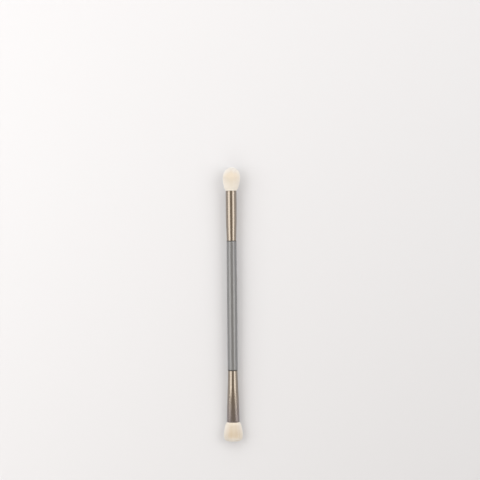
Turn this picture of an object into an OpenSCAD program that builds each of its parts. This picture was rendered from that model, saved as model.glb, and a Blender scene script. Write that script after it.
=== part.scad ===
// Double ended eyeshadow brush, lying on a table on its two heads.
// A turned and lacquered handle has a spigot at each end. A thin metal ferrule is pushed
// over each spigot, up to the handle's shoulder. In each ferrule a tuft of hair is tied
// round its root and set in a plug of resin. The round end is a domed blending tuft in a
// drawn round ferrule. The flat end is a dense flared tuft in a ferrule pressed oval.
//
// Every piece is drawn upright first, along the brush's axis: the handle's shoulder at the
// flat end is at height 0, the round end points up, and the oval is wide along X.
// An end's own heights run from its shoulder (0) out to the ferrule's mouth and the tip.
// All sizes are in millimetres.

/* [Handle] */
// Length of the handle that shows between the two ferrules
handle_length = 80.9; // [50:0.1:120]
// Diameter at the shoulder of the round end
round_shoulder_d = 6.15; // [5.9:0.05:7.5]
// Diameter at the shoulder of the flat end
flat_shoulder_d = 6.3; // [6.0:0.05:7.5]
// Diameter at the thickest place
belly_d = 6.4; // [6.3:0.05:10]
// Distance of the thickest place from the flat end's shoulder
belly_from_flat_end = 36; // [15:0.5:45]
// Rounding of the shoulders' edges
shoulder_edge_r = 0.35; // [0.1:0.05:0.5]
// Length of the spigot at each end
spigot_length = 12; // [5:0.1:13]
// Chamfer on the end of each spigot
spigot_chamfer = 0.5; // [0.1:0.05:1]
// Gap all round between a spigot and its ferrule, filled by a film of glue
glue_line = 0.03; // [0.01:0.01:0.1]

/* [Ferrules] */
// Thickness of the ferrules' wall
wall = 0.3; // [0.2:0.05:0.6]
// How far the rim of each mouth is rolled inwards past the wall's inner side
rim_roll = 0.05; // [0:0.05:0.2]

/* [Round end] */
// Length of the ferrule
round_ferrule_length = 31.2; // [26:0.1:45]
// Outer diameter at the handle
round_small_d = 5.85; // [4.5:0.05:6]
// Outer diameter at the mouth
round_mouth_d = 6.7; // [6:0.05:9]
// Length of the straight stretch at the mouth
round_straight = 14.9; // [8:0.1:16]
// Length over which the cone eases into the straight stretch
round_ease = 6; // [2:0.1:8]
// Length of hair that shows
round_head_length = 14.4; // [11:0.1:25]
// Diameter of the tuft where it is widest
round_head_d = 11; // [9:0.1:16]
// Height of the widest place above the mouth
round_head_belly = 8; // [4:0.1:9]
// How square the dome is: 2 is an ellipse, and more is flatter with fuller corners
round_dome_power = 2; // [1.6:0.1:3]

/* [Flat end] */
// Length of the ferrule
flat_ferrule_length = 32.3; // [26:0.1:45]
// Outer diameter at the handle
flat_small_d = 5.9; // [4.5:0.05:6.1]
// Outer diameter that the tube has at the mouth before it is pressed oval
flat_mouth_d = 6.65; // [6.3:0.05:8]
// Length of the straight stretch at the mouth
flat_straight = 16; // [8:0.1:19]
// Length over which the cone eases into the straight stretch
flat_ease = 5; // [2:0.1:6]
// Thickness that the mouth is pressed down to
pressed_t = 5.1; // [3.8:0.05:5.8]
// Length from the mouth over which the tube is pressed
pressed_length = 22; // [14:0.1:24]
// Length over which the pressing starts
pressed_ease = 2; // [1:0.1:8]
// Length of hair that shows
flat_head_length = 12; // [9:0.1:20]
// Width of the tuft where it is widest
flat_head_w = 12; // [10:0.1:16]
// Thickness of the tuft where it is widest
flat_head_t = 7.2; // [5.5:0.1:9]
// Height of the widest place above the mouth
flat_head_belly = 7.8; // [4:0.1:8.5]
// How square the dome is: 2 is an ellipse, and more is flatter with fuller corners
flat_dome_power = 3.6; // [1.6:0.1:4]

/* [Hair, tie and resin] */
// Length of hair hidden in each ferrule
root_depth = 11; // [8:0.1:12]
// Gap between the hair and the ferrule's bore
hair_gap = 0.05; // [0.02:0.01:0.1]
// Share of a tuft's flare that it bulges out at once, round the ferrule's rim
rim_bulge = 0.4; // [0:0.01:0.5]
// Depth of the furrows between locks of hair
lock_depth = 0.22; // [0:0.01:0.4]
// Diameter of the thread that ties the roots
thread_d = 0.3; // [0.2:0.05:0.5]
// Turns of thread round each root
thread_turns = 4; // [2:1:6]
// Height of the lowest turn above the end of the root
tie_height = 2; // [1:0.1:3]
// Length over which the hair fills out again above the tie
fill_out = 2; // [1:0.1:3]
// Gap between the resin and the ferrule's bore, the root and the tie
resin_gap = 0.03; // [0.01:0.01:0.1]

/* [Hidden] */

$fn = 96;
handle_steps = 24;      // stations along each half of the handle's curve
cone_steps = 8;         // stations over which a ferrule's cone eases out
press_steps = 12;       // stations along the pressed stretch
ferrule_around = 64;    // points round the pressed ferrule
tuft_around = 64;       // points round a tuft: it divides by four, so one lies on each axis
inner_around = 40;      // points round the pieces hidden in the flat end
lock_seed = 11;         // seed of the locks' uneven depths
flare_steps = 8;        // stations of a tuft from the mouth to its widest place
dome_steps = 9;         // stations of a tuft from there to its tip
tip_share = 0.985;      // how much of a full dome is drawn: a small flat is left at the tip
bulge_fade = 0.06;      // share of the flare's height over which the bulge round the rim grows
belly_ease = 0.4;       // share of the flare's height over which it eases to level
thread_pitch = 0.9;     // distance between turns of thread, in thread diameters
thread_points = 3;      // points on the outer side of one turn of thread

round_radius = round_mouth_d / 2;
spigot_r_round = round_small_d / 2 - wall - glue_line;
spigot_r_flat = flat_small_d / 2 - wall - glue_line;
tie_width = thread_d * (1 + (thread_turns - 1) * thread_pitch);
squeeze = thread_d + resin_gap;     // how much the tie draws the root in, beyond hair_gap

// Where the brush lies: the two heads touch the table, and the thicker one lifts its end.
round_contact = handle_length + round_ferrule_length + round_head_belly;
flat_contact = -flat_ferrule_length - flat_head_belly;
lie_angle = asin((round_head_d - flat_head_t) / 2 / (round_contact - flat_contact));
round_tip = handle_length + round_ferrule_length + round_head_length;
flat_tip = -flat_ferrule_length - flat_head_length;
lie_lift = round_head_d / 2 - round_contact * sin(lie_angle);

// A ferrule's outer radius before pressing, at height z above the handle's shoulder:
// a cone from the small end, then a parabola that eases it into a straight stretch.
function eased(z, straight_run, ease) =
    z < straight_run ? z
    : z < straight_run + ease ? z - pow(z - straight_run, 2) / (2 * ease)
    : straight_run + ease / 2;
function drawn_r(z, length, small_d, mouth_d, straight, ease) =
    let (cone = length - straight - ease)
    small_d / 2 + (mouth_d - small_d) / 2 * eased(z, cone, ease) / (cone + ease / 2);
function round_r(z) =
    drawn_r(z, round_ferrule_length, round_small_d, round_mouth_d, round_straight, round_ease);
function flat_r(z) =
    drawn_r(z, flat_ferrule_length, flat_small_d, flat_mouth_d, flat_straight, flat_ease);

// The pressed ferrule's outer half thickness and half width. The jaws close as a wedge from
// where the pressing starts. The tube keeps its girth, so the mean square of the two half
// axes stays the square of its radius.
press_start = flat_ferrule_length - pressed_length;
function pressed(z) =
    let (u = max(0, z - press_start))
    (u < pressed_ease ? pow(u, 2) / (2 * pressed_ease) : u - pressed_ease / 2)
        / (pressed_length - pressed_ease / 2);
function flat_half_t(z) = flat_r(z) - (flat_mouth_d - pressed_t) / 2 * pressed(z);
function flat_half_w(z) = sqrt(2 * pow(flat_r(z), 2) - pow(flat_half_t(z), 2));

// The rim of a mouth is rolled in: a quarter circle as deep as the wall and the roll together.
rim_depth = wall + rim_roll;
rim_arc = [for (a = [0 : 15 : 90]) [rim_depth * (1 - cos(a)), rim_depth * (1 - sin(a))]];

// Heights at which a ferrule's wall is drawn: its curved stretches get even steps.
function even(from, to, steps) = [for (i = [0 : steps]) from + (to - from) * i / steps];
round_curve = even(
    round_ferrule_length - round_straight - round_ease,
    round_ferrule_length - round_straight, cone_steps);
flat_curve = even(press_start, flat_ferrule_length - rim_depth, press_steps);

// Rings of points: a ring is an ellipse at one height, and a ring's points start on +X.
function ring(half_w, half_t, z, around) =
    [for (i = [0 : around - 1])
        let (a = 360 * i / around)
        [half_w * cos(a), half_t * sin(a), z]];
function joined(lists) = [for (list = lists) each list];
function reversed(list) = [for (i = [len(list) - 1 : -1 : 0]) list[i]];

// Skins a stack of rings. An open stack gets a flat face on its first and last ring,
// and a closed one is a tube whose last ring meets its first.
module skin(rings, closed = false) {
    around = len(rings[0]);
    spans = closed ? len(rings) : len(rings) - 1;
    sides = [for (j = [0 : spans - 1], i = [0 : around - 1])
        let (
            k = (j + 1) % len(rings),
            n = (i + 1) % around,
            a = j * around + i,
            b = j * around + n,
            c = k * around + n,
            d = k * around + i)
        each [[a, c, b], [a, d, c]]];
    caps = closed ? [] : [
        [for (i = [0 : around - 1]) i],
        [for (i = [around - 1 : -1 : 0]) (len(rings) - 1) * around + i],
    ];
    polyhedron(points = joined(rings), faces = concat(sides, caps), convexity = 4);
}

module at_round_end() translate([0, 0, handle_length]) children();
module at_flat_end() rotate([180, 0, 0]) children();

// Lays the upright brush down along +Y, round end away, with both heads on the table.
module lying() {
    middle = (round_tip + flat_tip) / 2 * cos(lie_angle);
    translate([0, -middle, lie_lift])
        rotate([lie_angle - 90, 0, 0])
            children();
}

// Points of the handle's outline between two diameters: a quarter wave, level at the belly.
function swell(end_d, end_z, belly_z) =
    [for (i = [0 : handle_steps])
        let (u = i / handle_steps)
        [end_d / 2 + (belly_d - end_d) / 2 * sin(90 * u), end_z + (belly_z - end_z) * u]];

// A rounded shoulder: a quarter circle from the face at height z to the grip's side.
// out is the way the spigot points, 1 up or -1 down.
function shoulder(d, z, out) =
    [for (a = [0 : 15 : 90])
        [d / 2 - shoulder_edge_r * (1 - sin(a)),
         z - out * shoulder_edge_r * (1 - cos(a))]];

module handle() {
    flat_low = shoulder_edge_r;
    round_high = handle_length - shoulder_edge_r;
    grip_low = [for (p = swell(flat_shoulder_d, flat_low, belly_from_flat_end))
        if (p[1] > flat_low) p];
    grip_high = [for (p = swell(round_shoulder_d, round_high, belly_from_flat_end))
        if (p[1] < round_high && p[1] > belly_from_flat_end) p];
    shoulder_high = shoulder(round_shoulder_d, handle_length, 1);
    color("#777674")
        rotate_extrude()
            polygon(concat(
                [[0, -spigot_length],
                 [spigot_r_flat - spigot_chamfer, -spigot_length],
                 [spigot_r_flat, -spigot_length + spigot_chamfer],
                 [spigot_r_flat, 0]],
                shoulder(flat_shoulder_d, 0, -1),
                grip_low,
                reversed(grip_high),
                reversed(shoulder_high),
                [[spigot_r_round, handle_length],
                 [spigot_r_round, handle_length + spigot_length - spigot_chamfer],
                 [spigot_r_round - spigot_chamfer, handle_length + spigot_length],
                 [0, handle_length + spigot_length]]));
}

module round_ferrule() {
    mouth = round_ferrule_length;
    outside = [for (z = concat([0], round_curve)) [round_r(z), z]];
    rim = [for (p = rim_arc) [round_radius - p[0], mouth - p[1]]];
    inside = [for (z = concat([0], round_curve)) [round_r(z) - wall, z]];
    color("#9c8f84")
        at_round_end()
            rotate_extrude()
                polygon(concat(
                    outside,
                    rim,
                    [[round_radius - wall, mouth - rim_depth]],
                    reversed(inside)));
}

// One ring of the pressed ferrule, set in from its outer side.
function flat_ring(z, inset, around) =
    ring(flat_half_w(z) - inset, flat_half_t(z) - inset, z, around);

module flat_ferrule() {
    mouth = flat_ferrule_length;
    heights = concat([0, press_start / 2], flat_curve);
    outside = [for (z = heights) flat_ring(z, 0, ferrule_around)];
    rim = [for (i = [1 : len(rim_arc) - 1])
        flat_ring(mouth - rim_arc[i][1], rim_arc[i][0], ferrule_around)];
    inside = [for (z = reversed(heights)) flat_ring(z, wall, ferrule_around)];
    color("#9c8f84")
        at_flat_end()
            skin(concat(outside, rim, inside), closed = true);
}

// Depth of the furrow at each point round a tuft, as a share of lock_depth. It is uneven, as
// locks of hair are, and 0 on the four axes, so that the tuft keeps its full width there.
uneven = rands(0, 1, tuft_around, lock_seed);
furrow = [for (i = [0 : tuft_around - 1]) i % (tuft_around / 4) == 0 ? 0 : uneven[i]];

// One ring of a tuft. locks runs from 0, smooth, to 1, with furrows of full depth, and
// short is how much shorter the hair in a full furrow ends than on a crest.
function hair_ring(half_w, half_t, z, locks = 0, short = 0) =
    [for (i = [0 : tuft_around - 1])
        let (
            a = 360 * i / tuft_around,
            inset = furrow[i] * lock_depth * locks)
        [(half_w - inset) * cos(a), (half_t - inset) * sin(a), z - furrow[i] * short]];

// How far a tuft has flared at share u of the way from the mouth to its widest place. It
// bulges round the rim first, then fans out along a straight side that eases to level.
function flare_share(u) =
    rim_bulge * (1 - exp(-u / bulge_fade)) / (1 - exp(-1 / bulge_fade))
    + (1 - rim_bulge) * eased(u, 1 - belly_ease, belly_ease) / (1 - belly_ease / 2);

// The stack of rings of a tuft: its tied root, its flare from the mouth to the widest place,
// and its dome. bore gives the half width and half thickness of the hair in the ferrule.
function tuft_rings(bore, mouth, head, belly, half_w, half_t, power) =
    let (
        root_z = mouth - root_depth,
        tie_top = root_z + tie_height + tie_width,
        root = [for (p = [[root_z, squeeze], [tie_top, squeeze], [tie_top + fill_out, 0]])
            hair_ring(bore(p[0])[0] - p[1], bore(p[0])[1] - p[1], p[0])],
        rim = bore(mouth) - [rim_roll, rim_roll],
        flare = [for (i = [0 : flare_steps])
            let (u = pow(i / flare_steps, 1.5), s = flare_share(u))
            hair_ring(rim[0] + (half_w - rim[0]) * s, rim[1] + (half_t - rim[1]) * s,
                mouth + belly * u, s)],
        dome = [for (i = [1 : dome_steps])
            let (
                v = sin(90 * i / dome_steps),
                s = pow(1 - pow(v * tip_share, power), 1 / power))
            hair_ring(half_w * s, half_t * s, mouth + belly + (head - belly) * v, s,
                lock_depth * s * v)])
    concat(root, [hair_ring(rim[0], rim[1], mouth - rim_depth)], flare, dome);

function round_bore(z) = let (r = round_r(z) - wall - hair_gap) [r, r];
function flat_bore(z) = [flat_half_w(z) - wall - hair_gap, flat_half_t(z) - wall - hair_gap];

module round_tuft()
    color("#ecdfcb")
        at_round_end()
            skin(tuft_rings(function (z) round_bore(z), round_ferrule_length,
                round_head_length, round_head_belly,
                round_head_d / 2, round_head_d / 2, round_dome_power));

module flat_tuft()
    color("#e6d3bb")
        at_flat_end()
            skin(tuft_rings(function (z) flat_bore(z), flat_ferrule_length,
                flat_head_length, flat_head_belly,
                flat_head_w / 2, flat_head_t / 2, flat_dome_power));

// Outer side of the tie in its own section, from the bottom up: one arc for each turn.
tie_outline = [for (t = [0 : thread_turns - 1], i = [0 : thread_points - 1])
    let (a = -60 + 120 * i / (thread_points - 1))
    [thread_d / 2 * (1 + cos(a)),
     thread_d / 2 * (1 + sin(a)) + t * thread_d * thread_pitch]];

// The tie fills the space between the squeezed root and the hair's own bore.
module round_tie() {
    low = round_ferrule_length - root_depth + tie_height;
    seat = round_bore(low)[0] - thread_d;
    color("#e9e4da")
        at_round_end()
            translate([0, 0, low])
                rotate_extrude()
                    polygon(concat(
                        [[seat, 0]],
                        [for (p = tie_outline) [seat + p[0], p[1]]],
                        [[seat, tie_width]]));
}

module flat_tie() {
    low = flat_ferrule_length - root_depth + tie_height;
    outline = concat([[0, 0]], tie_outline, [[0, tie_width]]);
    color("#e9e4da")
        at_flat_end()
            skin([for (p = outline)
                let (bore = flat_bore(low + p[1]), inset = thread_d - p[0])
                ring(bore[0] - inset, bore[1] - inset, low + p[1], inner_around)],
                closed = true);
}

// Resin fills the ferrule from the spigot's end to the tie, with a well for the root.
module round_resin() {
    floor_z = round_ferrule_length - root_depth;
    top = floor_z + tie_height - resin_gap;
    function wall_r(z) = round_r(z) - wall - resin_gap;
    color("#d8c08a")
        at_round_end()
            rotate_extrude()
                polygon(concat(
                    [[0, spigot_length]],
                    [for (z = even(spigot_length, top, cone_steps)) [wall_r(z), z]],
                    [[round_bore(top)[0] - squeeze + resin_gap, top],
                     [round_bore(floor_z)[0] - squeeze + resin_gap, floor_z],
                     [0, floor_z]]));
}

module flat_resin() {
    floor_z = flat_ferrule_length - root_depth;
    top = floor_z + tie_height - resin_gap;
    well = [resin_gap - squeeze, resin_gap - squeeze];
    top_well = flat_bore(top) + well;
    floor_well = flat_bore(floor_z) + well;
    color("#d8c08a")
        at_flat_end()
            skin(concat(
                [for (z = even(spigot_length, top, cone_steps))
                    flat_ring(z, wall + resin_gap, inner_around)],
                [ring(top_well[0], top_well[1], top, inner_around),
                 ring(floor_well[0], floor_well[1], floor_z, inner_around)]));
}

lying() handle();
lying() round_ferrule();
lying() flat_ferrule();
lying() round_tuft();
lying() flat_tuft();
lying() round_tie();
lying() flat_tie();
lying() round_resin();
lying() flat_resin();
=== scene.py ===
"""Dresses the double ended eyeshadow brush: metal, lacquer, hair, thread and resin.

The brush lies along +Y with its round head away from the camera's foot and its flat head near it.
Sizes are in millimetres and are the brush's own. A piece is worked out in the brush's frame,
which has x across the oval, up out of the oval's flat side, and z along the axis from the
handle's shoulder at the flat end. place() then lays it on the table, in metres.
"""

import math
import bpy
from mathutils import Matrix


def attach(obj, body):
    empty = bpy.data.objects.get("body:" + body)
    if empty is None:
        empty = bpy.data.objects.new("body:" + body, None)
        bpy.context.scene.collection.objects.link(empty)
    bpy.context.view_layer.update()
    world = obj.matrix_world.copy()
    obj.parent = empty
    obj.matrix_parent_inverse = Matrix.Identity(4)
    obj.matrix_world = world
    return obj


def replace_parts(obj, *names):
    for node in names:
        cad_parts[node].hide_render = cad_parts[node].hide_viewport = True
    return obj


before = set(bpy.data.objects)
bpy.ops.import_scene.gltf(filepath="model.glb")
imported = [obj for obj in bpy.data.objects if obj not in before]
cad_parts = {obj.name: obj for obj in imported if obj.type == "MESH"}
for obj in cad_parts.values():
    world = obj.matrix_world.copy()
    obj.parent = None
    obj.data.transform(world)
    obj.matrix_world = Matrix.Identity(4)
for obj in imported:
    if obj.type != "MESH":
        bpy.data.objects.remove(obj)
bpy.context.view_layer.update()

from types import SimpleNamespace

import bpy
import numpy as np
from mathutils import Vector

MM = 0.001
FULL_TURN = 2 * math.pi
UV_MAP = "OFBake"

# The handle between its two shoulders, where it is thickest at belly_z. A spigot reaches on
# into each ferrule, and glue is the gap round it.
HANDLE = SimpleNamespace(
    length=80.9, round_shoulder_d=6.15, flat_shoulder_d=6.3, belly_d=6.4, belly_z=36.0,
    shoulder_r=0.35, spigot=12.0, chamfer=0.5, glue=0.03)

# The ferrules' wall, and the rim of each mouth, which is rolled in past the wall's inner side.
WALL = 0.3
RIM_ROLL = 0.05
RIM_DEPTH = WALL + RIM_ROLL

# What the strands of both heads have alike: how many lie over the sides and how many end in
# the dome, their radius, how much their tips vary in height, how their points crowd towards
# the root, how far a lock draws them together and how deep it may lie, both as shares, and
# how far they bend aside.
STRANDS = dict(
    side_strands=1500, top_strands=3600, strand_r=0.055, lift=0.05, pace=1.15,
    gather=0.3, sunk=0.04, bend=0.04)

# The two ends. Each end's own heights run from the handle's shoulder out to the tip.
# First come the ferrule's length, its diameters at the handle and at the mouth, its straight
# stretch and the length that eases its cone into that. Then the thickness its mouth is pressed
# down to, the length that is pressed and the length over which the pressing starts. Then the
# head's length, its width and thickness at its widest place, that place's height above the
# mouth and the power of its dome, where 2 is an ellipse. Last come the seed of its locks, how
# much of the dome's curve the strands follow, how much shorter the shortest end, the number
# of locks, how much their paleness varies and how far the head leans to +X.
ROUND = SimpleNamespace(
    name="round", ferrule=31.2, small_d=5.85, mouth_d=6.7, straight=14.9, ease=6.0,
    pressed_t=6.7, pressed=21.0, pressed_ease=5.0,
    hair=14.4, hair_w=11.0, hair_t=11.0, belly=8.0, dome=2.0,
    seed=3, curl=0.8, uneven=0.12, locks=220, streaks=0.34, sway=0.45, **STRANDS)
FLAT = SimpleNamespace(
    name="flat", ferrule=32.3, small_d=5.9, mouth_d=6.65, straight=16.0, ease=5.0,
    pressed_t=5.1, pressed=22.0, pressed_ease=2.0,
    hair=12.0, hair_w=12.0, hair_t=7.2, belly=7.8, dome=3.6,
    seed=5, curl=0.6, uneven=0.1, locks=170, streaks=0.52, sway=0.0, **STRANDS)

# The hair and what holds it: the depth of its root below the mouth, the gap to the ferrule's
# bore, the bulge round the rim as a share of the flare and how fast it fades, the share of
# the flare that eases to level, and the thread with the waist that it ties into the root.
ROOT_DEPTH = 11.0
HAIR_GAP = 0.05
RIM_BULGE = 0.4
BULGE_FADE = 0.06
BELLY_EASE = 0.4
THREAD_D = 0.3
THREAD_TURNS = 4
THREAD_PITCH = 0.9 * THREAD_D
TIE_HEIGHT = 2.0
FILL_OUT = 2.0
SQUEEZE = THREAD_D + 0.03

# The packed inside of a head that no strand shows, as a share of the head, and how far below
# the mouth the root is already as narrow as the rim.
CORE_SHARE = 0.95
RIM_REACH = 1.0
# Where strands start, as heights above the mouth: those of the sides, those of the top that
# lie outside the packed inside, and how deep the others of the top start under its dome.
SIDE_START = -0.9
OUTER_START = -1.0
TOP_BURIED = 1.2
# The inner edge of the side strands and the outer edge of the top ones, as shares of the head.
SIDE_FROM = 0.86
TOP_TO = 0.97
# The share of a strand past which it gets thinner, and how much thinner its tip is.
TAPER_FROM = 0.6
TAPER = 0.6
# How far below the head's own length every strand ends at least, the lowest that any strand
# lies above the table, and how strongly the flat side of every strand turns up.
TIP_ROOM = 0.05
REST_ON = 0.01
FACE_UP = 2.0
# A strand bends along its height as a wave of this many radians.
WAVE = 4
# The share of a strand's paleness that it has from its lock. The rest is its own.
LOCK_TONE = 0.6

# How the brush lies: both heads touch the table, and the thicker one lifts its end.
ROUND_CONTACT = HANDLE.length + ROUND.ferrule + ROUND.belly
FLAT_CONTACT = -FLAT.ferrule - FLAT.belly
LIE = math.asin((ROUND.hair_t - FLAT.hair_t) / 2 / (ROUND_CONTACT - FLAT_CONTACT))
MIDDLE = (HANDLE.length + ROUND.ferrule + ROUND.hair - FLAT.ferrule - FLAT.hair) / 2
LIFT = ROUND.hair_t / 2 - ROUND_CONTACT * math.sin(LIE)


# Shapes: curves of the brush

def place(x, up, z):
    """Points of the brush's frame laid on the table: z runs along +Y, raised by the lying
    angle, and up leans back by the same angle. Millimetres become metres."""
    y = z * math.cos(LIE) - up * math.sin(LIE) - MIDDLE * math.cos(LIE)
    height = LIFT + z * math.sin(LIE) + up * math.cos(LIE)
    return MM * np.stack(np.broadcast_arrays(x, y, height), axis=-1)


def along(end, z):
    """An end's own height z as a height on the whole brush's axis."""
    return HANDLE.length + z if end is ROUND else -z


def eased(z, run, ease):
    """z up to run, then a parabola that levels off over the length ease."""
    past = np.clip(z - run, 0, ease)
    return np.minimum(z, run) + past - past ** 2 / (2 * ease)


def half_axes(end, z):
    """Outer half width and half thickness of a ferrule at its own height z. The drawn tube is
    a cone eased into a straight stretch. Jaws press it down as a wedge, and it keeps its
    girth: the mean square of the two half axes stays the square of the radius."""
    cone = end.ferrule - end.straight - end.ease
    grown = eased(np.asarray(z, float), cone, end.ease) / (cone + end.ease / 2)
    radius = end.small_d / 2 + (end.mouth_d - end.small_d) / 2 * grown
    past = np.maximum(0, z - (end.ferrule - end.pressed))
    pressed = (past - eased(past, 0, end.pressed_ease)) / (end.pressed - end.pressed_ease / 2)
    thick = radius - (end.mouth_d - end.pressed_t) / 2 * pressed
    return np.sqrt(2 * radius ** 2 - thick ** 2), thick


def bore_axes(end, z):
    """Half width and half thickness of the hair inside a ferrule at its own height z."""
    wide, thick = half_axes(end, z)
    return wide - WALL - HAIR_GAP, thick - WALL - HAIR_GAP


def flare_share(u):
    """How far a tuft has flared at share u of the way from the mouth to its widest place:
    a quick bulge round the rim, and a straight side that eases to level."""
    bulge = (1 - np.exp(-u / BULGE_FADE)) / (1 - math.exp(-1 / BULGE_FADE))
    fan = eased(u, 1 - BELLY_EASE, BELLY_EASE) / (1 - BELLY_EASE / 2)
    return RIM_BULGE * bulge + (1 - RIM_BULGE) * fan


def tuft_axes(end, above):
    """Half width and half thickness of a tuft's flare at a height above the mouth."""
    wide, thick = bore_axes(end, end.ferrule)
    share = flare_share(np.clip(above / end.belly, 0, 1))
    wide, thick = wide - RIM_ROLL, thick - RIM_ROLL
    return wide + (end.hair_w / 2 - wide) * share, thick + (end.hair_t / 2 - thick) * share


def sway(end, above):
    """How far a head leans to +X at a height above the mouth: it grows evenly with the height
    at first, and levels off at the tip."""
    up = np.clip(above / end.hair, 0, 1)
    return end.sway * up * (2 - up)


# Shapes: meshes

def signed_volume(points, faces):
    """Volume enclosed by quads and triangles, negative when they face inwards: the sum of
    the tetrahedra from the first point to each triangle of each face."""
    corners = points[faces] - points[0]
    total = 0.0
    for k in range(1, faces.shape[1] - 1):
        total += np.einsum("ij,ij->", corners[:, 0], np.cross(corners[:, k], corners[:, k + 1]))
    return total / 6


def add_piece(name, points, face_sets, material, smooth_angle=40.0, uv=None):
    """Makes one mesh piece from points and arrays of quads or triangles, faces outwards, and
    lets it ride on the brush. Edges sharper than smooth_angle degrees stay sharp, and with 0
    every face is flat."""
    points = np.asarray(points, float).reshape(-1, 3)
    if sum(signed_volume(points, faces) for faces in face_sets) < 0:
        face_sets = [faces[:, ::-1] for faces in face_sets]
        uv = None if uv is None else [corners[:, ::-1] for corners in uv]
    mesh = bpy.data.meshes.new(name)
    sizes = np.concatenate([np.full(len(faces), faces.shape[1]) for faces in face_sets])
    loops = np.concatenate([faces.ravel() for faces in face_sets])
    mesh.vertices.add(len(points))
    mesh.vertices.foreach_set("co", points.astype(np.float32).ravel())
    mesh.loops.add(len(loops))
    mesh.loops.foreach_set("vertex_index", loops.astype(np.int32))
    mesh.polygons.add(len(sizes))
    mesh.polygons.foreach_set("loop_start", (np.cumsum(sizes) - sizes).astype(np.int32))
    if uv is not None:
        layer = mesh.uv_layers.new(name=UV_MAP)
        layer.uv.foreach_set("vector", np.concatenate(
            [corners.reshape(-1, 2) for corners in uv]).astype(np.float32).ravel())
    mesh.update(calc_edges=True)
    if smooth_angle:
        mesh.shade_smooth()
        mesh.set_sharp_from_angle(angle=math.radians(smooth_angle))
    else:
        mesh.shade_flat()
    mesh.materials.append(material)
    piece = bpy.data.objects.new(name, mesh)
    bpy.context.scene.collection.objects.link(piece)
    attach(piece, "root")
    return piece


def grid_faces(rows, around, closed):
    """Quads of a grid of rows rings with around points each, whose rings always close. The
    last ring meets the first when closed."""
    row = np.arange(rows if closed else rows - 1)[:, None]
    column = np.arange(around)[None, :]
    above = (row + 1) % rows
    beside = (column + 1) % around
    corners = (row * around + column, row * around + beside,
               above * around + beside, above * around + column)
    return np.stack(np.broadcast_arrays(*corners), axis=-1).reshape(-1, 4)


def pole_faces(ring_start, around, pole, turned):
    """Triangles from one ring of a grid to a pole point, the other way round if turned."""
    a = ring_start + np.arange(around)
    b = ring_start + (np.arange(around) + 1) % around
    tip = np.full(around, pole)
    return np.stack((b, a, tip) if turned else (a, b, tip), axis=-1)


def capped(rings):
    """Points and faces of an open stack of rings, closed by a pole in the middle of each end."""
    rows, around = rings.shape[:2]
    points = np.concatenate([rings.reshape(-1, 3), rings[:1].mean(1), rings[-1:].mean(1)])
    first, last = rows * around, rows * around + 1
    return points, [grid_faces(rows, around, False), np.concatenate([
        pole_faces(0, around, first, True),
        pole_faces((rows - 1) * around, around, last, False)])]


def joined(parts):
    """One set of points, quads, triangles, quad UVs and triangle UVs from several, each part's
    point numbers raised by the points before it."""
    points, quads, triangles, quad_uv, triangle_uv = zip(*parts)
    starts = np.cumsum([0] + [len(part) for part in points[:-1]])
    return (
        np.concatenate(points),
        np.concatenate([faces + start for faces, start in zip(quads, starts)]),
        np.concatenate([faces + start for faces, start in zip(triangles, starts)]),
        np.concatenate(quad_uv), np.concatenate(triangle_uv))


def oval_rings(wide, thick, z, around):
    """Rings of an elliptic surface: the point at angle a of ring k is (wide cos a, thick sin a)
    at height z, for arrays wide, thick and z of one number to a ring."""
    turn = np.arange(around) * FULL_TURN / around
    return place(wide[:, None] * np.cos(turn), thick[:, None] * np.sin(turn), z[:, None])


def quarter(steps):
    """Angles of a quarter turn, both ends included."""
    return np.linspace(0, math.pi / 2, steps)


# Materials: shader maths written as Python maths

class Channel:
    """A socket of a material's nodes. Arithmetic on it adds Math nodes."""

    def __init__(self, paint, socket):
        self.paint = paint
        self.socket = socket

    def _math(self, operation, *values):
        return self.paint.node("ShaderNodeMath", {"operation": operation}, *values)

    def __add__(self, other):
        return self._math("ADD", self, other)

    __radd__ = __add__

    def __sub__(self, other):
        return self._math("SUBTRACT", self, other)

    def __rsub__(self, other):
        return self._math("SUBTRACT", other, self)

    def __mul__(self, other):
        return self._math("MULTIPLY", self, other)

    __rmul__ = __mul__

    def sine(self):
        return self._math("SINE", self)

    def between(self, low, high):
        """0 below low, 1 above high and a smooth step between."""
        return self.paint.node(
            "ShaderNodeMapRange", {"interpolation_type": "SMOOTHSTEP"}, self, low, high)

    def inside(self, low, full_from, full_to, high):
        """0 below low and above high, 1 from full_from to full_to and smooth steps between."""
        return self.between(low, full_from) * (1 - self.between(full_to, high))


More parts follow.
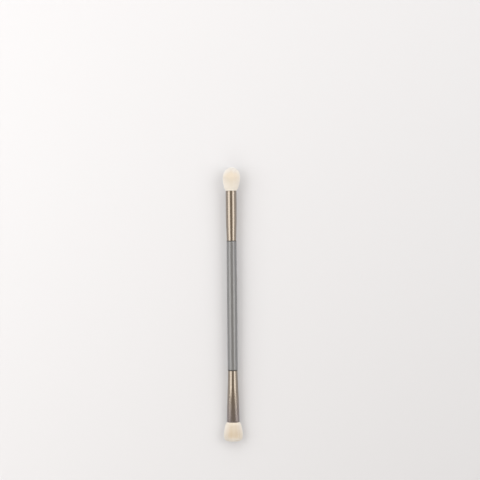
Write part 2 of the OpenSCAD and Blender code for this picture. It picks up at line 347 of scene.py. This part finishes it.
class Paint:
    """A procedural material on a Principled shader."""

    def __init__(self, name, **constants):
        self.material = bpy.data.materials.new(name)
        self.material.use_nodes = True
        self.tree = self.material.node_tree
        self.shader = self.tree.nodes["Principled BSDF"]
        for socket, value in constants.items():
            self.shader.inputs[socket.replace("_", " ")].default_value = value

    def node(self, kind, settings=None, *values, out=0, **named):
        """Adds a node. settings are its own options, set first, and values fill its inputs in
        order, or by name. A value of None leaves an input as it is."""
        made = self.tree.nodes.new(kind)
        for option, choice in (settings or {}).items():
            setattr(made, option, choice)
        for key, value in [*enumerate(values), *named.items()]:
            if value is not None:
                self.feed(made.inputs[key], value)
        return Channel(self, made.outputs[out])

    def feed(self, socket, value):
        """Links a channel to a socket, or sets a plain value on it."""
        if isinstance(value, Channel):
            self.tree.links.new(value.socket, socket)
        else:
            socket.default_value = value

    def drive(self, **sockets):
        """Feeds what changes over the surface into the Principled shader."""
        for socket, value in sockets.items():
            self.feed(self.shader.inputs[socket.replace("_", " ")], value)
        return self.material

    def mix(self, first, second, factor):
        """A colour between two colours."""
        return self.node(
            "ShaderNodeMix", {"data_type": "RGBA"}, factor, None, None, None, None, None,
            first, second, out=2)

    def place_on_brush(self):
        """Object coordinates turned back into the brush's frame, in millimetres: x across, y
        along the axis and z up."""
        coordinates = self.node("ShaderNodeTexCoord", {}, out="Object")
        return self.node(
            "ShaderNodeMapping", {"vector_type": "TEXTURE"}, Vector=coordinates,
            Location=(0, -MIDDLE * math.cos(LIE) * MM, LIFT * MM), Rotation=(LIE, 0, 0),
            Scale=(MM, MM, MM))

    def uv(self):
        """The piece's own UV map, as U and V."""
        return self.split(self.node("ShaderNodeUVMap", {"uv_map": UV_MAP}))[:2]

    def stretched(self, vector, x, y, z):
        """A vector with its three axes multiplied, so that a pattern on it is finer along them."""
        return self.node("ShaderNodeVectorMath", {"operation": "MULTIPLY"}, vector, (x, y, z))

    def split(self, vector):
        """The three numbers of a vector."""
        made = self.tree.nodes.new("ShaderNodeSeparateXYZ")
        self.tree.links.new(vector.socket, made.inputs["Vector"])
        return [Channel(self, made.outputs[k]) for k in range(3)]

    def noise(self, vector, scale, detail=2.0, roughness=0.5):
        """Soft noise from 0 to 1."""
        return self.node("ShaderNodeTexNoise", {}, Vector=vector, Scale=scale, Detail=detail,
                         Roughness=roughness)

    def bump(self, height, distance):
        """A normal from a height of 0 to 1 that stands for distance, in metres."""
        return self.node("ShaderNodeBump", {}, Strength=1.0, Distance=distance, Height=height)


def lacquer():
    """Turned birch under a satin warm grey lacquer, with a dark dull line of painted shade at each
    shoulder, for the shadowed gap at the ferrule. The spigots past the shoulders are bare."""
    paint = Paint("handle_lacquer", Specular_IOR_Level=1.0, Coat_Roughness=0.2, Coat_IOR=1.5)
    spot = paint.place_on_brush()
    _, z, _ = paint.split(spot)
    length = HANDLE.length
    bare = 1 - z.inside(-0.1, 0.0, length, length + 0.1)
    # Painted shade: the lacquer darkens and dulls next to each shoulder, for the shadowed gap at
    # the ferrule.
    shoulder_shade = 1 - z.inside(0.4, 0.75, length - 0.7, length - 0.35)
    grain = paint.noise(paint.stretched(spot, 3.0, 0.25, 3.0), 1.0, detail=4.0)
    flow = paint.noise(paint.stretched(spot, 1.2, 0.3, 1.2), 1.0, detail=3.0)
    peel = paint.noise(spot, 2.6, detail=1.0)
    grey = paint.mix((0.118, 0.1218, 0.1256, 1), (0.13, 0.1338, 0.1376, 1), flow)
    birch = paint.mix((0.55, 0.40, 0.25, 1), (0.72, 0.57, 0.38, 1), grain)
    height = peel * 0.3 + grain * 0.7 * bare
    return paint.drive(
        Base_Color=paint.mix(paint.mix(grey, (0.02, 0.017, 0.014, 1), 0.9 * shoulder_shade), birch, bare),
        Roughness=0.25 + 0.03 * flow + 0.3 * shoulder_shade,
        Coat_Weight=0.6 * (1 - shoulder_shade),
        Normal=paint.bump(height, 0.000002))


def ferrule_metal():
    """Drawn aluminium anodised a pale bronze, rosier towards the pressed mouth. Fine lines run
    round it from its polishing, and fainter ones along it from its drawing. Its cut edges at
    the handle and its rolled rims are darkened with painted shade, for the shadowed gap at
    each joint and the shadow line between each rim and its hair."""
    paint = Paint("ferrule_metal", Metallic=1.0)
    spot = paint.place_on_brush()
    turned = paint.noise(paint.stretched(spot, 0.6, 26.0, 0.6), 1.0, detail=3.0, roughness=0.65)
    drawn = paint.noise(paint.stretched(spot, 9.0, 0.12, 9.0), 1.0, detail=3.0)
    cloud = paint.noise(spot, 0.35, detail=2.0)
    tone = 0.5 * turned + 0.3 * drawn + 0.2 * cloud
    _, z, _ = paint.split(spot)
    # Painted shade at the ferrule's edges next to the handle, for the shadowed gap at each joint.
    cut = z.inside(-0.16, -0.08, HANDLE.length + 0.05, HANDLE.length + 0.1)
    low_mouth, high_mouth = -FLAT.ferrule, HANDLE.length + ROUND.ferrule
    # Painted shade along the last of each mouth, for the shadow line between the rolled rim and the
    # hair.
    rim_shade = 1 - z.inside(low_mouth + 0.15, low_mouth + 0.45, high_mouth - 0.45, high_mouth - 0.15)
    bronze = paint.mix((0.288, 0.25, 0.208, 1), (0.32, 0.28, 0.236, 1), tone)
    rosy = paint.mix((0.269, 0.24, 0.236, 1), (0.299, 0.269, 0.268, 1), tone)
    all_bronze = -13.0
    metal = paint.mix(bronze, rosy, 1 - z.between(low_mouth, all_bronze))
    return paint.drive(
        Base_Color=paint.mix(metal, (0.06, 0.05, 0.04, 1), cut + 0.7 * rim_shade),
        Roughness=0.18 + 0.02 * turned + 0.01 * cloud,
        Normal=paint.bump(turned, 0.0000003))


def hair(name, root, deep, side, tip):
    """Fine soft hair. Its UV map holds how pale each strand is along U, and the height above
    the mouth along V. A strand goes from the colour root to deep as it rises, the deeper middle
    being painted shade of the head's thick body. The paler it is, the more it has of side
    instead, which is painted rim light, and the lower down it turns to tip."""
    paint = Paint(name, Roughness=0.5, Specular_IOR_Level=0.35, Sheen_Weight=0.7,
                  Sheen_Roughness=0.35)
    pale, up = paint.uv()
    grown = paint.mix(root, deep, up.between(0.05, 0.72))
    toned_and_rim_lit = paint.mix(grown, side, pale * 0.95)
    return paint.drive(Base_Color=paint.mix(toned_and_rim_lit, tip, (up + 0.2 * pale).between(0.69, 0.98)))


def thread():
    """White binding thread, its plies twisted along it. U runs along it and V round it."""
    paint = Paint("tie_thread", Roughness=0.7, Sheen_Weight=0.2)
    run, turn = paint.uv()
    ply = ((run * 160 + turn * 3) * FULL_TURN).sine() * 0.5 + 0.5
    return paint.drive(
        Base_Color=paint.mix((0.62, 0.58, 0.5, 1), (0.86, 0.83, 0.77, 1), ply),
        Normal=paint.bump(ply, 0.00003))


def resin():
    """Amber resin, poured and set, with a faint cloud in it and a few bubbles at its face."""
    paint = Paint("set_resin", Specular_IOR_Level=0.6, Coat_Weight=0.6, Coat_Roughness=0.1)
    spot = paint.place_on_brush()
    cloud = paint.noise(spot, 0.7, detail=3.0)
    bubble = paint.node("ShaderNodeTexVoronoi", {}, Vector=spot, Scale=2.2).between(0.1, 0.25)
    return paint.drive(
        Base_Color=paint.mix((0.42, 0.26, 0.1, 1), (0.7, 0.5, 0.24, 1), cloud),
        Roughness=0.18 + 0.2 * cloud,
        Normal=paint.bump(bubble, 0.00004))


# The pieces

def make_handle(material):
    """A revolved outline: spigot, chamfer, rounded shoulder and a grip that swells in two
    quarter waves, level at its thickest place."""
    h = HANDLE
    around, grip_steps, edge_steps = 96, 40, 7
    flat_r = FLAT.small_d / 2 - WALL - h.glue
    round_r = ROUND.small_d / 2 - WALL - h.glue
    rise = np.linspace(0, 1, grip_steps)
    edge = quarter(edge_steps)

    def shoulder(diameter, z, out):
        radius = diameter / 2 - h.shoulder_r * (1 - np.sin(edge))
        return np.stack([radius, z - out * h.shoulder_r * (1 - np.cos(edge))], 1)

    def swell(diameter, start):
        radius = diameter / 2 + (h.belly_d - diameter) / 2 * np.sin(rise * math.pi / 2)
        return np.stack([radius, start + (h.belly_z - start) * rise], 1)

    outline = np.concatenate([
        [[flat_r - h.chamfer, -h.spigot], [flat_r, -h.spigot + h.chamfer], [flat_r, 0]],
        shoulder(h.flat_shoulder_d, 0, -1),
        swell(h.flat_shoulder_d, h.shoulder_r)[1:],
        swell(h.round_shoulder_d, h.length - h.shoulder_r)[-2:0:-1],
        shoulder(h.round_shoulder_d, h.length, 1)[::-1],
        [[round_r, h.length], [round_r, h.length + h.spigot - h.chamfer],
         [round_r - h.chamfer, h.length + h.spigot]]])
    rings = oval_rings(outline[:, 0], outline[:, 0], outline[:, 1], around)
    piece = add_piece("handle_shell", *capped(rings), material)
    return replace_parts(piece, "handle")


def make_ferrule(end, material):
    """A tube with a wall: its outer side, a rim rolled in by a quarter circle, and its inner
    side back to the handle, all as insets from the drawn and pressed outer oval."""
    around, wall_steps, rim_steps = 160, 96, 7
    z = np.linspace(0, end.ferrule - RIM_DEPTH, wall_steps)
    edge = quarter(rim_steps)[1:]
    heights = np.concatenate([z, end.ferrule - RIM_DEPTH * (1 - np.sin(edge)), z[::-1]])
    insets = np.concatenate([0 * z, RIM_DEPTH * (1 - np.cos(edge)), WALL + 0 * z])
    wide, thick = half_axes(end, heights)
    rings = oval_rings(wide - insets, thick - insets, along(end, heights), around)
    faces = grid_faces(len(rings), around, closed=True)
    piece = add_piece(f"{end.name}_ferrule_tube", rings, [faces], material, smooth_angle=50.0)
    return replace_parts(piece, f"{end.name}_ferrule")


def make_tie(end, material):
    """The wound thread: a tube whose middle runs round the squeezed root as a helix, with a
    circle carried along it in the plane of the axis and the outward direction."""
    around, steps_a_turn, radius = 10, 40, 0.47 * THREAD_PITCH
    steps = THREAD_TURNS * steps_a_turn + 1
    turn = np.linspace(0, THREAD_TURNS * FULL_TURN, steps)[:, None]
    section = np.arange(around) * FULL_TURN / around
    low = end.ferrule - ROOT_DEPTH + TIE_HEIGHT + THREAD_D / 2
    z = low + (turn / FULL_TURN - 0.5) * THREAD_PITCH * (THREAD_TURNS - 1) / THREAD_TURNS
    wide, thick = bore_axes(end, z)
    out = radius * np.cos(section) - THREAD_D / 2
    rings = place((wide + out) * np.cos(turn), (thick + out) * np.sin(turn),
                  along(end, z + radius * np.sin(section)))
    points, faces = capped(rings)
    run = np.arange(steps - 1)[:, None] / steps
    lap = np.arange(around)[None, :] / around
    left, right, low_v, high_v = run, run + 1 / steps, lap, lap + 1 / around
    side = np.stack([np.stack(np.broadcast_arrays(u, v), -1) for u, v in (
        (left, low_v), (left, high_v), (right, high_v), (right, low_v))], axis=2)
    caps = np.tile([[[0.0, 0.0], [0.01, 0.0], [0.0, 0.01]]], (2 * around, 1, 1))
    piece = add_piece(f"{end.name}_tie_thread", points, faces, material,
                      uv=[side.reshape(-1, 4, 2), caps])
    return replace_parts(piece, f"{end.name}_tie")


def packed_inside(end):
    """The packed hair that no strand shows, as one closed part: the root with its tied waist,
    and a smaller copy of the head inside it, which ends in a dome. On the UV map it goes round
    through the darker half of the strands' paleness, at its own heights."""
    around, flare_steps, dome_steps = 48, 9, 9
    root_z = end.ferrule - ROOT_DEPTH
    tie_top = root_z + TIE_HEIGHT + THREAD_D + (THREAD_TURNS - 1) * THREAD_PITCH
    root = np.array([root_z, tie_top, tie_top + FILL_OUT, end.ferrule - RIM_REACH])
    root_w, root_t = bore_axes(end, root)
    tied = np.array([SQUEEZE, SQUEEZE, 0.0, RIM_ROLL])
    flare = np.linspace(0, 1, flare_steps)
    flare_w, flare_t = tuft_axes(end, flare * end.belly)
    rise = np.sin(quarter(dome_steps))[1:-1]
    dome = (1 - rise ** end.dome) ** (1 / end.dome)
    dome_height = (end.hair - end.belly) * CORE_SHARE
    wide = np.concatenate([
        root_w - tied, flare_w * CORE_SHARE, end.hair_w / 2 * CORE_SHARE * dome])
    thick = np.concatenate([
        root_t - tied, flare_t * CORE_SHARE, end.hair_t / 2 * CORE_SHARE * dome])
    above = np.concatenate([
        root - end.ferrule, flare * end.belly, end.belly + dome_height * rise])
    rings = oval_rings(wide, thick, along(end, end.ferrule + above), around)
    rings[..., 0] += MM * sway(end, above)[:, None]
    points, (quads, triangles) = capped(rings)
    up = np.clip(above / end.hair, 0.02, 0.9)
    lap = np.arange(around)[None, :] / around
    u = 0.1 + 0.5 * (lap[..., None] + np.array([0, 1, 1, 0]) / around)
    v = np.stack([up[:-1], up[:-1], up[1:], up[1:]], 1)[:, None, :] + 0.004 * np.array([0, 0, 1, 1])
    quad_uv = np.stack(np.broadcast_arrays(u, v), -1).reshape(-1, 4, 2)
    cap_uv = np.tile([[[0.3, 0.02], [0.34, 0.02], [0.32, 0.05]]], (2 * around, 1, 1))
    return points, quads, triangles, quad_uv, cap_uv


def spread(count, low, rng):
    """Places over a disc from share low of its radius out, as a sunflower sets its seeds:
    the angle grows by the golden angle and the squared radius evenly. A little is added at
    random. Returns radius shares and angles."""
    k = np.arange(count) + 0.5
    share = np.sqrt(low ** 2 + (1 - low ** 2) * k / count)
    angle = k * math.pi * (3 - math.sqrt(5)) + rng.normal(0, 0.02, count) / share
    return share, angle


def strand_lines(end, share, angle, start, steps, rng):
    """Middle lines of strands, as places over the oval and heights above the mouth, and how
    pale each strand is. A strand keeps its share of the flaring oval up to the widest place.
    Past it the share shrinks with the dome, by less than the dome does, so the strand comes
    out at the dome's surface and ends there. Its lock draws it towards the lock's own middle
    as it rises, a slow wave bends it a little to each side, and it leans with its head."""
    count, p = len(share), end.dome
    rise = ((1 - share ** p) / (1 - end.curl * share ** p)) ** (1 / p)
    cut = rng.uniform(0, 1, count) ** 2.5 * end.uneven
    tip = end.belly + (end.hair - end.belly) * (rise - cut) + end.lift * rng.normal(0, 1, count)
    tip = np.minimum(tip, end.hair - TIP_ROOM)
    t = np.linspace(0, 1, steps)[None, :] ** end.pace
    z = start[:, None] + (tip - start)[:, None] * t
    wide, thick = tuft_axes(end, z)
    v = np.clip((z - end.belly) / (end.hair - end.belly), 0, 1)
    hold = share[:, None] * (1 - end.curl * v ** p) ** (1 / p)
    # The lock that each strand belongs to is the nearest of a sparser sunflower.
    lock_share, lock_angle = spread(end.locks, 0.0, rng)
    own = np.stack([share * np.cos(angle), share * np.sin(angle)], 1)
    middle = np.stack([lock_share * np.cos(lock_angle), lock_share * np.sin(lock_angle)], 1)
    nearest = ((own[:, None] - middle[None]) ** 2).sum(-1).argmin(1)
    up = np.clip(z / end.hair, 0, 1)
    draw = end.gather * up ** 1.5
    at = own[:, None] * (1 - draw[..., None]) + middle[nearest][:, None] * draw[..., None]
    at *= (hold / share[:, None])[..., None]
    sunk = 1 - end.sunk * rng.uniform(0, 1, end.locks)[nearest][:, None] * up ** 0.7
    phase = rng.uniform(0, FULL_TURN, (2, count, 1))
    bend = end.bend * up * rng.normal(0, 1, (2, count, 1))
    x = at[..., 0] * wide * sunk + bend[0] * np.sin(up * WAVE + phase[0]) + sway(end, z)
    y = at[..., 1] * thick * sunk + bend[1] * np.sin(up * WAVE + phase[1])
    # Strands are palest at the two sides across the oval, a painted rim light for the pale fringe
    #     that light gives a head's outline seen from above; each lock and each strand also has a
    #     tone of its own.
    lock_tone = rng.uniform(0, 1, end.locks)[nearest]
    tone = lock_tone * LOCK_TONE + rng.uniform(0, 1, count) * (1 - LOCK_TONE)
    side = abs(share * np.cos(angle))
    edge = 0.78 * side ** 1.25 + 0.18 * side ** 10
    pale = np.clip(0.04 + edge + end.streaks * (tone - 0.5), 0, 1)
    return x, y, z, pale


def strand_tubes(end, x, y, z, pale):
    """Strands as three-sided tubes: a triangle carried along each middle line with one flat
    side turned up and away from the brush's axis, thinner past TAPER_FROM of the line, with
    a pole at its root and at its tip. All strands are made at once."""
    count, steps = x.shape
    centre = place(x, y, along(end, end.ferrule + z))
    run = np.gradient(centre, axis=1)
    run /= np.linalg.norm(run, axis=2, keepdims=True)
    axis = place(0 * x, 0 * y, along(end, end.ferrule + z - 0.3 * end.hair))
    away = centre - axis
    away = away / np.linalg.norm(away, axis=2, keepdims=True) + (0, 0, FACE_UP)
    side = np.cross(run, away)
    side /= np.linalg.norm(side, axis=2, keepdims=True)
    out = np.cross(side, run)
    past = np.maximum(0, np.linspace(0, 1, steps) - TAPER_FROM) / (1 - TAPER_FROM)
    size = MM * end.strand_r * (1 - TAPER * past ** 1.5)
    turn = ((np.arange(3) + 0.5) * FULL_TURN / 3)[None, None, :, None]
    ring = centre[:, :, None] + size[None, :, None, None] * (
        out[:, :, None] * np.cos(turn) + side[:, :, None] * np.sin(turn))
    tip = centre[:, -1] + run[:, -1] * size[-1] * 2
    root = centre[:, 0] - run[:, 0] * size[0] * 0.5
    points = np.concatenate([ring.reshape(count, -1, 3), root[:, None], tip[:, None]], axis=1)
    first = (np.arange(count) * points.shape[1])[:, None, None]
    quads = (first + grid_faces(steps, 3, False)[None]).reshape(-1, 4)
    caps = np.concatenate([pole_faces(0, 3, 3 * steps, True),
                           pole_faces(3 * (steps - 1), 3, 3 * steps + 1, False)])
    triangles = (first + caps[None]).reshape(-1, 3)
    # On the UV map each strand is a narrow upright stripe at its own paleness and heights.
    stripe = 0.03
    left = 0.01 + pale * (0.98 - stripe)
    up = np.clip(z / end.hair, 0.01, 0.98)
    u = left[:, None, None, None] + stripe / 3 * (
        np.arange(3)[None, None, :, None] + np.array([0, 1, 1, 0]))
    v = np.stack([up[:, :-1], up[:, :-1], up[:, 1:], up[:, 1:]], -1)[:, :, None]
    side_uv = np.stack(np.broadcast_arrays(u, v), -1).reshape(-1, 4, 2)
    cap_u = left[:, None, None] + stripe * np.array([0.2, 0.8, 0.5])
    ends = np.repeat(up[:, [0, -1]], 3, axis=1)[:, :, None] + np.array([0.0, 0.0, 0.01])
    cap_uv = np.stack(np.broadcast_arrays(cap_u, ends), -1).reshape(-1, 3, 2)
    return points.reshape(-1, 3), quads, triangles, side_uv, cap_uv


def side_strands(end, rng):
    """The strands that run from inside the ferrule over the flare, all from one height."""
    share, angle = spread(end.side_strands, SIDE_FROM, rng)
    start = np.full(len(share), SIDE_START)
    return strand_tubes(end, *strand_lines(end, share, angle, start, steps=8, rng=rng))


def top_strands(end, rng):
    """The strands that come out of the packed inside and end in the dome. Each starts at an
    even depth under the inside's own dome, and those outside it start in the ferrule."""
    share, angle = spread(end.top_strands, 0.0, rng)
    share = share * TOP_TO
    # The inside's dome has no height past its own edge, so shares are kept just short of it.
    held = np.minimum(share / CORE_SHARE, 0.999)
    dome = (1 - held ** end.dome) ** (1 / end.dome)
    start = end.belly + (end.hair - end.belly) * CORE_SHARE * dome - TOP_BURIED
    start = np.where(share < CORE_SHARE, start, OUTER_START)
    return strand_tubes(end, *strand_lines(end, share, angle, start, steps=5, rng=rng))


def make_tuft(end, material):
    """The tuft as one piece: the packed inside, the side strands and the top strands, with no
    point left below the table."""
    rng = np.random.default_rng(end.seed)
    points, quads, triangles, quad_uv, triangle_uv = joined([
        packed_inside(end), side_strands(end, rng), top_strands(end, rng)])
    points[:, 2] = np.maximum(points[:, 2], REST_ON * MM)
    piece = add_piece(f"{end.name}_hair", points, [quads, triangles], material,
                      smooth_angle=0, uv=[quad_uv, triangle_uv])
    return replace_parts(piece, f"{end.name}_tuft")


metal = ferrule_metal()
white_thread = thread()
amber = resin()
make_handle(lacquer())
# The side colours are painted rim light, and the deep ones painted shade of the heads' thick
# middle.
hair_paints = {
    "round": hair(
        "round_hair", root=(0.83, 0.793, 0.722, 1), deep=(0.763, 0.689, 0.572, 1),
        side=(0.838, 0.815, 0.779, 1), tip=(0.828, 0.81, 0.78, 1)),
    "flat": hair(
        "flat_hair", root=(0.73, 0.656, 0.547, 1), deep=(0.66, 0.563, 0.421, 1),
        side=(0.785, 0.765, 0.735, 1), tip=(0.735, 0.703, 0.65, 1))}
for end in (ROUND, FLAT):
    make_ferrule(end, metal)
    make_tie(end, white_thread)
    make_tuft(end, hair_paints[end.name])
    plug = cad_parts[f"{end.name}_resin"].data
    plug.materials.clear()
    plug.materials.append(amber)


# The floor, the light and the camera, in metres

# The light boxes: name, place, the point each faces, its level side, the side that leans and
# how bright its face looks beside a white of 1.
SOFTBOXES = [
    ("left_softbox", (-0.56, 0.12, 0.50), (0, 0.12, 0), 0.68, 0.6, 2.2),
    ("right_softbox", (0.545, 0.21, 0.515), (0, 0.21, 0), 0.88, 0.5, 2.27),
    ("far_softbox", (-0.2, 0.9, 0.65), (0, 0, 0), 1.2, 0.7, 1.75),
    ("near_softbox", (-0.2, -0.9, 0.65), (0, 0, 0), 1.2, 0.6, 1.25),
]


def make_floor():
    """A plain pale floor: a wide round sheet, a little darker to the right, which is a fall of
    light painted into its colour. It glows more the further off it is, so that it stays pale
    where the light boxes no longer reach it."""
    paint = Paint("floor_paint", Roughness=0.75, Specular_IOR_Level=0.2, Emission_Strength=1.0)
    spot = paint.node("ShaderNodeTexCoord", {}, out="Object")
    across, ahead, _ = paint.split(spot)
    cloud = paint.noise(spot, 2.0, detail=2.0)
    # Painted light: the floor's colour darkens to the right and a little towards the near end, as a
    # fall of light, with a faint mottle.
    tone = 0.1 * cloud + 0.9 * (1 - (across - 0.35 * ahead).between(-0.25, 0.35))
    far_off = paint.node("ShaderNodeVectorMath", {"operation": "LENGTH"}, spot, out="Value")
    paint.drive(
        Base_Color=paint.mix((0.515, 0.525, 0.548, 1), (0.65, 0.662, 0.69, 1), tone),
        Emission_Color=paint.mix(
            (0.06, 0.0597, 0.0597, 1), (0.8, 0.79, 0.785, 1), far_off.between(0.25, 1.6)))
    radius, around = 12.0, 96
    turn = np.arange(around) * FULL_TURN / around
    mesh = bpy.data.meshes.new("floor")
    mesh.from_pydata(
        np.stack([radius * np.cos(turn), radius * np.sin(turn), 0 * turn], 1).tolist(), [],
        [list(range(around))])
    mesh.materials.append(paint.material)
    floor = bpy.data.objects.new("floor", mesh)
    bpy.context.scene.collection.objects.link(floor)


def add_softbox(name, spot, aim, wide, tall, radiance):
    """A soft rectangular white light that faces the point aim."""
    lamp = bpy.data.lights.new(name, "AREA")
    lamp.shape = "RECTANGLE"
    lamp.size = wide
    lamp.size_y = tall
    lamp.energy = radiance * math.pi * wide * tall
    box = bpy.data.objects.new(name, lamp)
    box.location = spot
    box.rotation_euler = (Vector(aim) - Vector(spot)).to_track_quat("-Z", "Y").to_euler()
    bpy.context.scene.collection.objects.link(box)


def set_sky(overhead, horizon, fade_up):
    """A pale room: of colour horizon at the floor's far edge, fading to overhead where the
    direction's upward part reaches fade_up."""
    sky = bpy.data.worlds.new("room")
    sky.use_nodes = True
    tree = sky.node_tree
    behind = tree.nodes["Background"]
    towards = tree.nodes.new("ShaderNodeTexCoord")
    parts = tree.nodes.new("ShaderNodeSeparateXYZ")
    fade = tree.nodes.new("ShaderNodeMapRange")
    fade.interpolation_type = "SMOOTHSTEP"
    fade.inputs["From Min"].default_value = 0.0
    fade.inputs["From Max"].default_value = fade_up
    tint = tree.nodes.new("ShaderNodeMix")
    tint.data_type = "RGBA"
    tint.inputs[6].default_value = horizon
    tint.inputs[7].default_value = overhead
    tree.links.new(towards.outputs["Generated"], parts.inputs["Vector"])
    tree.links.new(parts.outputs["Z"], fade.inputs["Value"])
    tree.links.new(fade.outputs["Result"], tint.inputs["Factor"])
    tree.links.new(tint.outputs[2], behind.inputs["Color"])
    bpy.context.scene.world = sky


def add_camera():
    """Straight down on the brush, worked out in millimetres. The picture's scale comes from
    the brush's length in it. Its middle lies beside the brush's own, and it leans by half a
    degree."""
    picture_pixels = 480
    brush_pixels = 274.46
    brush_middle_across = 232.13
    brush_middle_down = 304.62
    lean = math.radians(0.55)
    height, sensor = 635.0, 36.0
    brush_length = FLAT.hair + FLAT.ferrule + HANDLE.length + ROUND.ferrule + ROUND.hair
    pixel = brush_length / brush_pixels
    right = (picture_pixels / 2 - brush_middle_across) * pixel
    away = (brush_middle_down - picture_pixels / 2) * pixel
    eye = bpy.data.cameras.new("camera")
    eye.sensor_width = sensor
    eye.lens = sensor * height / (picture_pixels * pixel)
    eye.clip_start = 0.01
    eye.clip_end = 50.0
    camera = bpy.data.objects.new("camera", eye)
    camera.location = Vector((
        right * math.cos(lean) + away * math.sin(lean),
        away * math.cos(lean) - right * math.sin(lean),
        height + ROUND.hair_t / 2)) * MM
    camera.rotation_euler = (0, 0, -lean)
    bpy.context.scene.collection.objects.link(camera)
    bpy.context.scene.camera = camera


make_floor()
for softbox in SOFTBOXES:
    add_softbox(*softbox)
set_sky((0.51, 0.445, 0.375, 1), (1.0, 0.99, 1.02, 1), 0.42)
add_camera()
bpy.context.scene.view_settings.view_transform = "Standard"
